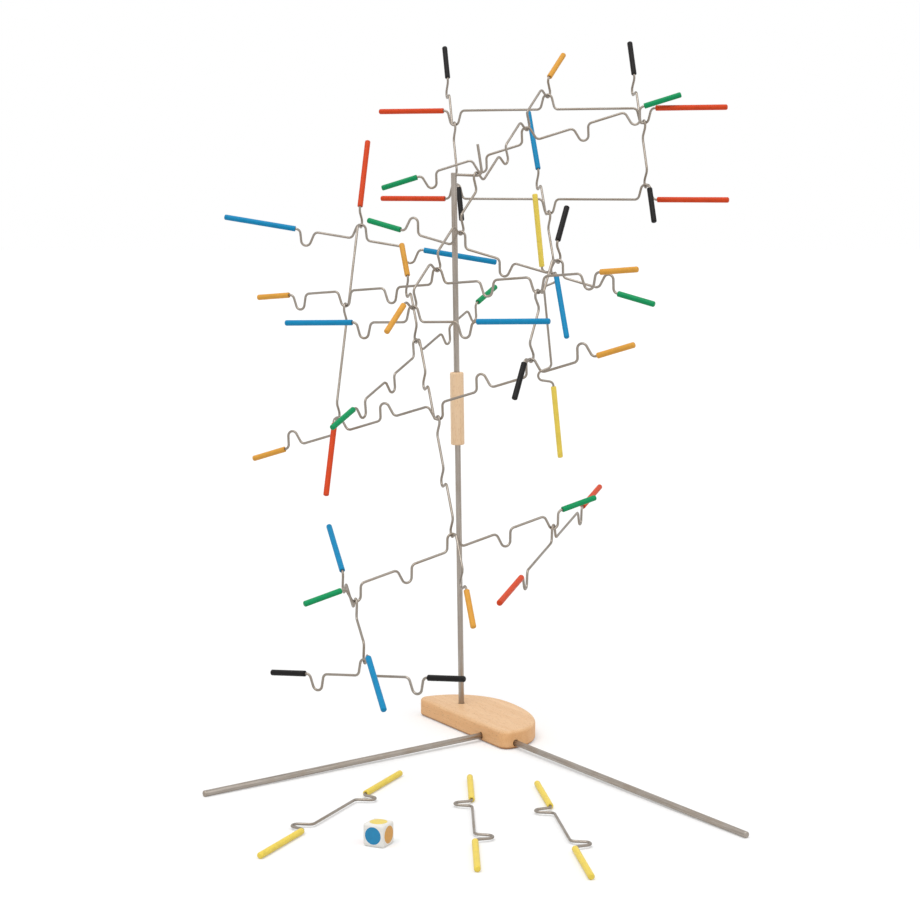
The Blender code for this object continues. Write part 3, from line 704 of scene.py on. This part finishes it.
def foot_shape():
    """The foot: its outline drawn in along the inward normal by each inset, at each height."""
    line = foot_outline()
    step = np.roll(line, -1, axis=0) - np.roll(line, 1, axis=0)
    inward = np.stack((-step[:, 1], step[:, 0]), axis=1)
    inward /= np.linalg.norm(inward, axis=1, keepdims=True)
    low = arc((BASE_ROUND, BASE_ROUND), BASE_ROUND, 270.0, 180.0, EDGE_STEPS)
    high = low[::-1] * (1.0, -1.0) + (0.0, BASE_HEIGHT)
    rim = np.concatenate(([(BASE_FACE_INSET, 0.0)], low, high, [(BASE_FACE_INSET, BASE_HEIGHT)]))
    level = line + rim[:, None, :1] * inward
    height = np.broadcast_to(rim[:, None, 1:], (*level.shape[:2], 1))
    points = np.concatenate((level, height), axis=-1).reshape(-1, 3)
    return points, tube_faces(len(rim), len(line))


def socket_cutter(name, mouth, inward, depth):
    """A hidden round cutter: a bore with a small flare where it meets the surface."""
    flare = SOCKET_RADIUS + SOCKET_FLARE
    profile = [(-CUTTER_PROUD, flare), (0.0, flare), (SOCKET_FLARE, SOCKET_RADIUS),
               (depth, SOCKET_RADIUS)]
    points, faces, _ = turned_body(mouth, inward, profile, ROD_SIDES)
    return add_object(name, new_mesh(name, points, faces))


def foot_cutters():
    """Cutters of the pole's socket and of the two leg sockets, each under its own rod."""
    mouth = BASE_HEIGHT * POLE_UP / POLE_UP[2]
    cutters = [socket_cutter("pole_bore", mouth, -POLE_UP, POLE_SOCKET_DEPTH)]
    for leg, depth in (("leg_left", SIDE_LEG_SOCKET_DEPTH), ("leg_right", END_LEG_SOCKET_DEPTH)):
        outer, inner = bar_ends(node_points(leg), ROD_END_REACH)
        out = unit(outer - inner)
        mouth = inner + (depth - ROD_CHAMFER / 2) * out
        cutters.append(socket_cutter(leg + "_bore", mouth, -out, depth + SOCKET_GAP))
    return cutters


def make_foot():
    """The beech foot with its three sockets, in its own frame first, then turned into place."""
    points, faces = foot_shape()
    turn = turned_about_z(BASE_TURN)
    blank = add_object("foot_blank", new_mesh("foot_blank", points @ turn.T, faces))
    cutters = foot_cutters()
    for cutter in cutters:
        cut = blank.modifiers.new(cutter.name, "BOOLEAN")
        cut.operation = "DIFFERENCE"
        cut.solver = "EXACT"
        cut.object = cutter
    bored = blank.evaluated_get(bpy.context.evaluated_depsgraph_get())
    foot = bpy.data.meshes.new_from_object(bored)
    foot.name = "foot"
    for spent in (blank, *cutters):
        bpy.data.objects.remove(spent, do_unlink=True)
    store_own(foot, corner_points(foot) @ turn)
    finish_piece("foot", foot, FOOT_BEECH, "base", ["base"])


# The die.

def die_shape():
    """A rounded cube: a grid on each cube face, each point q moved to c + r (q - c) / |q - c|.

    c is q held inside the cube that is smaller by the rounding radius r. Also gives its quads."""
    n = DIE_POINTS
    flat = np.linspace(-1.0, 1.0, n)
    crowded = np.sign(flat) * np.abs(flat) ** DIE_CROWDING
    u, v = (grid.ravel() for grid in np.meshgrid(crowded, crowded, indexing="ij"))
    w = np.ones_like(u)
    sheets = ((w, u, v), (-w, v, u), (v, w, u), (u, -w, v), (u, v, w), (v, u, -w))
    half = DIE_SIZE / 2
    points = half * np.concatenate([np.stack(sheet, axis=1) for sheet in sheets])
    core = points.clip(DIE_ROUND - half, half - DIE_ROUND)
    out = points - core
    points = core + DIE_ROUND * out / np.linalg.norm(out, axis=1, keepdims=True)
    i, j = np.meshgrid(np.arange(n - 1), np.arange(n - 1), indexing="ij")
    corners = (i * n + j, (i + 1) * n + j, (i + 1) * n + j + 1, i * n + j + 1)
    quads = np.stack(corners, axis=-1).reshape(-1, 4)
    quads = np.concatenate([quads + sheet * n * n for sheet in range(len(sheets))])
    kept, index = np.unique(np.round(points, DIE_DIGITS), axis=0, return_inverse=True)
    return kept, index.ravel()[quads].tolist()


def dot_profile():
    """A dot's (run, radius) pairs: a foot under the paint, then a low dome, an ellipse's cap."""
    ring = np.linspace(1.0, DOT_MIDDLE, DOT_RINGS)
    dome = np.sqrt(1.0 - (DOT_ARCH * ring) ** 2)
    rise = DOT_RISE * dome / dome[-1]
    top = np.stack((rise, DOT_RADIUS * ring), axis=1)
    return np.concatenate(([(-DOT_SINK, DOT_RADIUS)], top))


def make_die():
    """The painted cube, and a thin domed dot of paint on each face."""
    low, high = (np.array(corner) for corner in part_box("die"))
    centre = (low + high) / 2
    axes = turned_about_z(DIE_TURN)
    points, quads = die_shape()
    cube = (centre + points @ axes.T, quads, points)
    add_piece("die_cube", cube, WHITE_PAINT, "die", ["die"])
    for colour, face in DIE_DOTS:
        out = axes @ np.array(face)
        dot = turned_body(centre + DIE_SIZE / 2 * out, out, dot_profile(), DOT_SIDES)
        paint = dot_paint(colour + "_dot", TIP_COLOURS[colour])
        add_piece(f"die_dot_{colour}", dot, paint, "die", [])


# Floor, light and camera.

def background_rays(tree):
    """One for rays from the camera, or that metal or glass sends on; nought for the rest."""
    path = add_node(tree, "ShaderNodeLightPath")
    total = path.outputs["Is Camera Ray"]
    for other in ("Is Glossy Ray", "Is Transmission Ray"):
        node = add_node(tree, "ShaderNodeMath", operation="MAXIMUM")
        tree.links.new(total, node.inputs[0])
        tree.links.new(path.outputs[other], node.inputs[1])
        total = node.outputs["Value"]
    return total


def make_floor():
    """A plain pale floor that takes the shadows; a little glow lifts it to white where seen."""
    material, tree, shader = new_material("pale_floor")
    spots = noise(tree, object_coordinates(tree), FLOOR_SPOTS)
    tone = ramp(tree, spots, (0.3, FLOOR_TONES[0]), (0.7, FLOOR_TONES[1]))
    tree.links.new(tone, shader.inputs["Base Color"])
    shader.inputs["Roughness"].default_value = FLOOR_ROUGHNESS
    shader.inputs["Specular IOR Level"].default_value = FLOOR_SPECULAR
    shader.inputs["Emission Color"].default_value = WHITE
    strength = add_node(tree, "ShaderNodeMath", operation="MULTIPLY")
    strength.inputs[1].default_value = FLOOR_GLOW
    tree.links.new(background_rays(tree), strength.inputs[0])
    tree.links.new(strength.outputs["Value"], shader.inputs["Emission Strength"])
    corners = FLOOR_REACH * np.array(((-1, -1, 0), (1, -1, 0), (1, 1, 0), (-1, 1, 0)))
    mesh = new_mesh("floor", corners - (0.0, 0.0, FLOOR_BELOW), [(0, 1, 2, 3)])
    mesh.materials.append(material)
    floor = add_object("floor", mesh)


def make_world():
    """Even white light all round; seen directly, or in metal, it is plain white."""
    world = bpy.data.worlds.new("studio")
    world.use_nodes = True
    tree = world.node_tree
    back = tree.nodes["Background"]
    back.inputs["Color"].default_value = WHITE
    strength = add_node(tree, "ShaderNodeMapRange")
    strength.inputs["To Min"].default_value = AMBIENT
    strength.inputs["To Max"].default_value = 1.0
    tree.links.new(background_rays(tree), strength.inputs["Value"])
    tree.links.new(strength.outputs["Result"], back.inputs["Strength"])
    bpy.context.scene.world = world


def add_far_softbox(name, heading, height, width, strength):
    """A broad far-off lamp: the heading it shines from, its height and its width, in degrees."""
    lamp = bpy.data.lights.new(name, "SUN")
    lamp.energy = strength
    lamp.angle = math.radians(width)
    holder = add_object(name, lamp)
    holder.rotation_euler = (math.radians(90.0 - height), 0.0, math.radians(heading))


def make_camera():
    """The photograph's view: level with the hook, tilted down, its focal length known in pixels."""
    camera = bpy.data.cameras.new("camera")
    camera.sensor_width = SENSOR_WIDTH
    camera.sensor_fit = "HORIZONTAL"
    camera.lens = SENSOR_WIDTH * FOCAL_PIXELS / FRAME_PIXELS
    camera.clip_end = CAMERA_SIGHT
    holder = add_object("camera", camera)
    holder.location = CAMERA_PLACE
    holder.rotation_euler = (math.radians(90.0 - CAMERA_TILT), 0.0, 0.0)
    bpy.context.scene.camera = holder


for wire_colour in WIRE_KINDS:
    for wire_letter in LETTERS:
        make_wire(wire_colour, wire_letter)
for rod in RODS:
    make_rod(rod)
make_hook()
make_dowel()
make_foot()
make_die()

make_floor()
make_world()
for softbox in SOFTBOXES:
    add_far_softbox(*softbox)
make_camera()
bpy.context.scene.view_settings.view_transform = "Standard"
